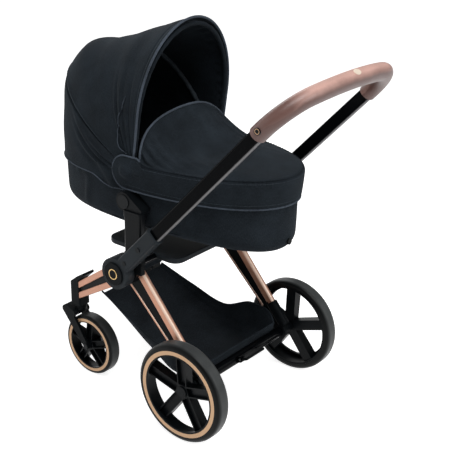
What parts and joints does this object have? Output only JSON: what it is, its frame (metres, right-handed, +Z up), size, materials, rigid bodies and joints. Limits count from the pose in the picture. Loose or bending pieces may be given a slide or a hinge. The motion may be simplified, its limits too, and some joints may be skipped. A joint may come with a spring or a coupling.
{
  "type": "baby stroller",
  "caption": "Pram with a folding chassis, swivel casters, sliding bow handle and lift-off carrycot under a folding canopy and an arched apron.",
  "frame": {"origin": "on the ground under the middle of the whole pram", "axes": "+Y the way it travels, +Z up, +X to the right of the person who pushes it"},
  "size_m": [0.57, 0.9846, 1.1],
  "materials": {
    "rubber_tyre": "satin, smooth tread",
    "ring_copper": "satin copper tan",
    "rim_plastic": "fine grain",
    "rose_gold": "anodised rose gold",
    "gloss_black": "gloss",
    "black_plastic": "fine grain",
    "grey_plastic": "matte",
    "steel": "brushed",
    "silver": "polished",
    "dark_button": "satin",
    "black_fabric": "fine twill",
    "lining_fabric": "soft knit",
    "tan_leather": "smooth grain, rose tan",
    "bow_plastic": "matte"
  },
  "bodies": {
    "root": {"hinge_housings": "black_plastic", "hinge_pins": "steel", "hinge_covers": "grey_plastic", "front_legs": "rose_gold", "front_leg_webs": "black_plastic", "caster_housings": "black_plastic", "chassis_bridge": "black_plastic", "bridge_tubes": "gloss_black", "adapter_post_left": "black_plastic", "adapter_post_right": "black_plastic", "basket": "black_fabric", "basket_rod": "gloss_black"},
    "caster_left": {"front_fork_left": "black_plastic", "front_axle_left": "steel"},
    "caster_right": {"front_fork_right": "black_plastic", "front_axle_right": "steel"},
    "front_wheel_left": {"front_tyre_left": "rubber_tyre", "front_ring_left": "ring_copper", "front_rim_left": "rim_plastic"},
    "front_wheel_right": {"front_tyre_right": "rubber_tyre", "front_ring_right": "ring_copper", "front_rim_right": "rim_plastic"},
    "rear_frame": {"rear_leg_left": "rose_gold", "rear_leg_right": "rose_gold", "rear_leg_webs": "black_plastic", "rear_leg_lugs": "black_plastic", "rear_brackets": "black_plastic", "rear_axle_beam": "gloss_black", "rear_axles": "steel", "brake_pin": "steel"},
    "brake": {"brake_pedal": "black_plastic"},
    "rear_wheel_left": {"rear_tyre_left": "rubber_tyre", "rear_ring_left": "ring_copper", "rear_rim_left": "rim_plastic"},
    "rear_wheel_right": {"rear_tyre_right": "rubber_tyre", "rear_ring_right": "ring_copper", "rear_rim_right": "rim_plastic"},
    "handle_lower": {"handle_socket_left": "grey_plastic", "handle_socket_right": "grey_plastic", "socket_screws": "steel"},
    "handle_upper": {"handle_tube_left": "gloss_black", "handle_tube_right": "gloss_black", "grip_core": "steel", "grip_leather": "tan_leather", "grip_badge": "dark_button", "grip_end_caps": "dark_button"},
    "button_left": {"height_button_left": "silver"},
    "button_right": {"height_button_right": "silver"},
    "carrycot": {"cot_tub": "black_fabric", "cot_mattress": "lining_fabric", "cot_adapters": "black_plastic", "cot_foot_stud": "black_plastic", "canopy_hinges": "black_plastic", "cot_apron": "black_fabric", "canopy_rear_cloth": "black_fabric"},
    "release_left": {"cot_release_left": "dark_button"},
    "release_right": {"cot_release_right": "dark_button"},
    "canopy_mid": {"canopy_mid_bow": "bow_plastic"},
    "canopy_front": {"canopy_front_bow": "bow_plastic", "canopy_front_cloth": "black_fabric"}
  },
  "joints": [
    {"name": "handle_fold", "type": "hinge", "parent": "root", "child": "handle_lower", "pos_m": [0, 0.093, 0.424], "axis": [-1, 0, 0], "range_deg": [0, 120]},
    {"name": "handle_extend", "type": "slide", "parent": "handle_lower", "child": "handle_upper", "axis": [0, -0.6884, 0.7254], "range_m": [0, 0.09]},
    {"name": "rear_leg_fold", "type": "hinge", "parent": "root", "child": "rear_frame", "pos_m": [0, 0.093, 0.424], "axis": [1, 0, 0], "range_deg": [0, 32], "deforming": ["basket"]},
    {"name": "rear_wheel_spin_left", "type": "hinge", "parent": "rear_frame", "child": "rear_wheel_left", "pos_m": [-0.261, -0.157, 0.145], "axis": [1, 0, 0], "continuous": true},
    {"name": "caster_swivel_left", "type": "hinge", "parent": "root", "child": "caster_left", "pos_m": [-0.163, 0.338, 0.22], "axis": [0, 0, 1], "continuous": true},
    {"name": "front_wheel_spin_left", "type": "hinge", "parent": "caster_left", "child": "front_wheel_left", "pos_m": [-0.163, 0.29, 0.096], "axis": [1, 0, 0], "continuous": true},
    {"name": "height_button_left", "type": "slide", "parent": "handle_lower", "child": "button_left", "axis": [1, 0, 0], "range_m": [0, 0.0025], "stiffness_N_per_m": 800, "springref_m": -0.002},
    {"name": "cot_release_left", "type": "slide", "parent": "carrycot", "child": "release_left", "axis": [1, 0, 0], "range_m": [0, 0.003], "stiffness_N_per_m": 800, "springref_m": -0.002},
    {"name": "rear_wheel_spin_right", "type": "hinge", "parent": "rear_frame", "child": "rear_wheel_right", "pos_m": [0.261, -0.157, 0.145], "axis": [1, 0, 0], "continuous": true},
    {"name": "caster_swivel_right", "type": "hinge", "parent": "root", "child": "caster_right", "pos_m": [0.163, 0.338, 0.22], "axis": [0, 0, 1], "continuous": true},
    {"name": "front_wheel_spin_right", "type": "hinge", "parent": "caster_right", "child": "front_wheel_right", "pos_m": [0.163, 0.29, 0.096], "axis": [1, 0, 0], "continuous": true},
    {"name": "height_button_right", "type": "slide", "parent": "handle_lower", "child": "button_right", "axis": [-1, 0, 0], "range_m": [0, 0.0025], "stiffness_N_per_m": 800, "springref_m": -0.002},
    {"name": "cot_release_right", "type": "slide", "parent": "carrycot", "child": "release_right", "axis": [-1, 0, 0], "range_m": [0, 0.003], "stiffness_N_per_m": 800, "springref_m": -0.002},
    {"name": "brake_press", "type": "hinge", "parent": "rear_frame", "child": "brake", "pos_m": [0, -0.18, 0.154], "axis": [1, 0, 0], "range_deg": [0, 14], "stiffness_Nm_per_rad": 1.5, "springref_deg": -8.59},
    {"name": "cot_lift", "type": "slide", "parent": "root", "child": "carrycot", "axis": [0, 0, 1], "range_m": [0, 0.12]},
    {"name": "canopy_fold", "type": "hinge", "parent": "carrycot", "child": "canopy_mid", "pos_m": [0, 0.086, 0.71], "axis": [-1, 0, 0], "range_deg": [0, 40], "deforming": ["canopy_rear_cloth"]},
    {"name": "canopy_front_fold", "type": "hinge", "parent": "canopy_mid", "child": "canopy_front", "pos_m": [0, 0.086, 0.71], "axis": [-1, 0, 0], "range_deg": [0, 34], "deforming": ["canopy_front_cloth"]}
  ],
  "couplings": [
    {"joint": "rear_leg_fold", "follows": "handle_fold", "ratio": 0.2666},
    {"joint": "canopy_front_fold", "follows": "canopy_fold", "ratio": 0.85}
  ]
}
